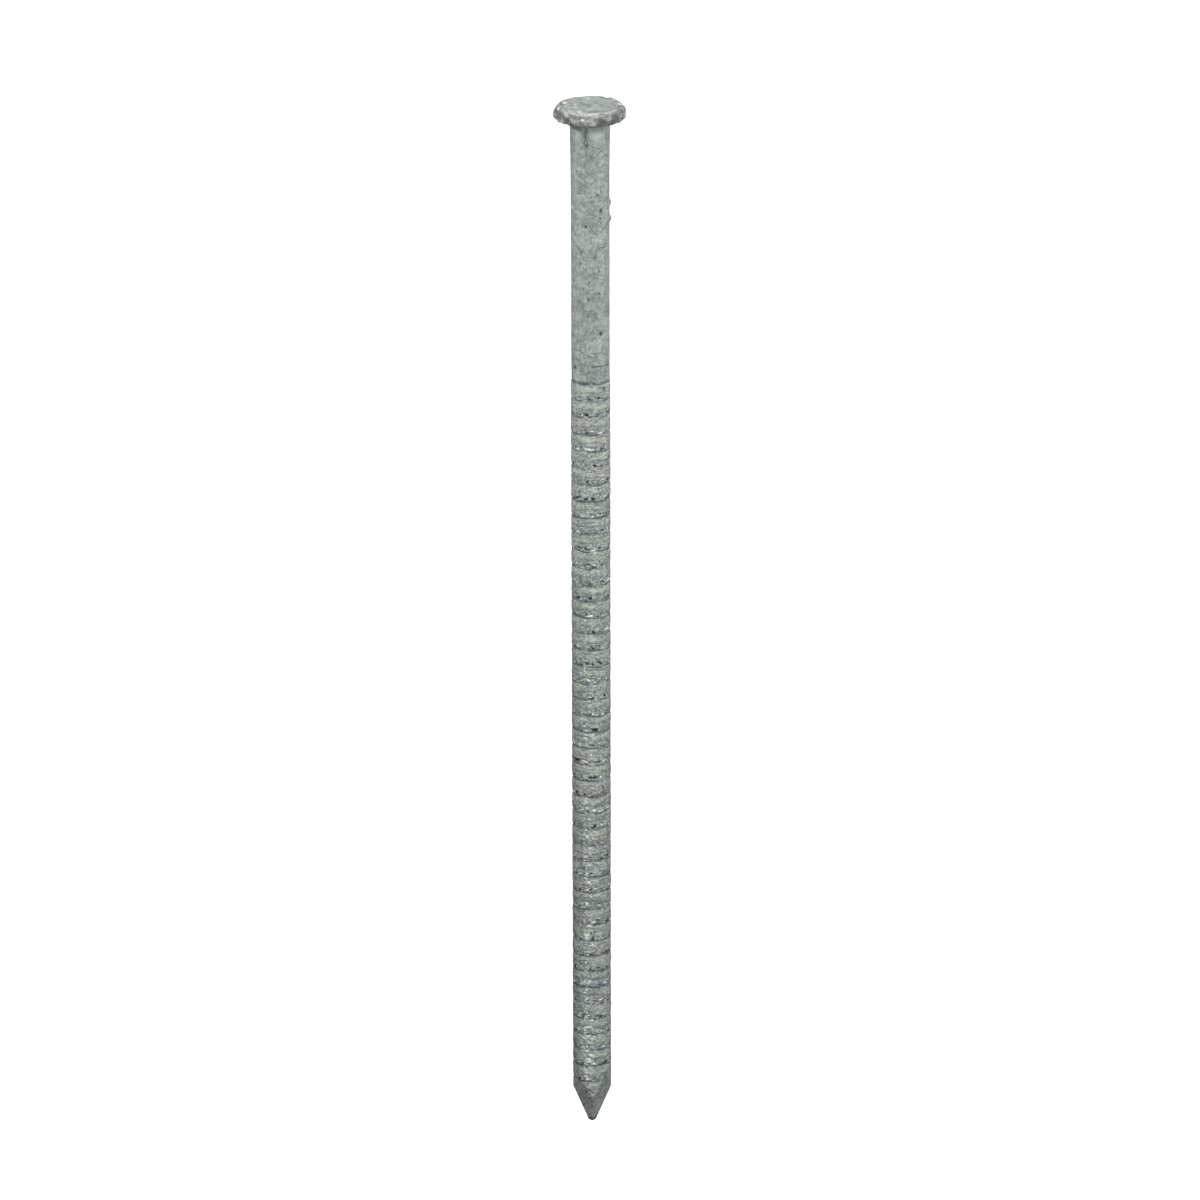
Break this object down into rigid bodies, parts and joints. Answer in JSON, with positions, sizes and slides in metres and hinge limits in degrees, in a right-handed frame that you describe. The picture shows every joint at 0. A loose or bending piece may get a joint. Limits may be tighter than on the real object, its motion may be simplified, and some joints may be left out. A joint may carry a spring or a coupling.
{
  "type": "ring-shank nail",
  "caption": "Long hot-dip galvanised ring-shank nail with a flat round head and a four-sided point, for driving into structural timber.",
  "frame": {"origin": "on the nail's axis, in the plane of the zinc-coated bearing face under the head", "axes": "+Z along the axis towards the struck face, so the shank hangs below the origin; +X towards the right-hand ridge of the point, +Y towards its back ridge"},
  "size_m": [0.01, 0.01, 0.1546],
  "materials": {
    "steel": "bare drawn steel wire, sealed under the zinc",
    "zinc": "matte, mottled pale grey hot-dip zinc"
  },
  "bodies": {
    "root": {"steel_nail": "steel", "zinc_coating": "zinc"}
  },
  "joints": []
}
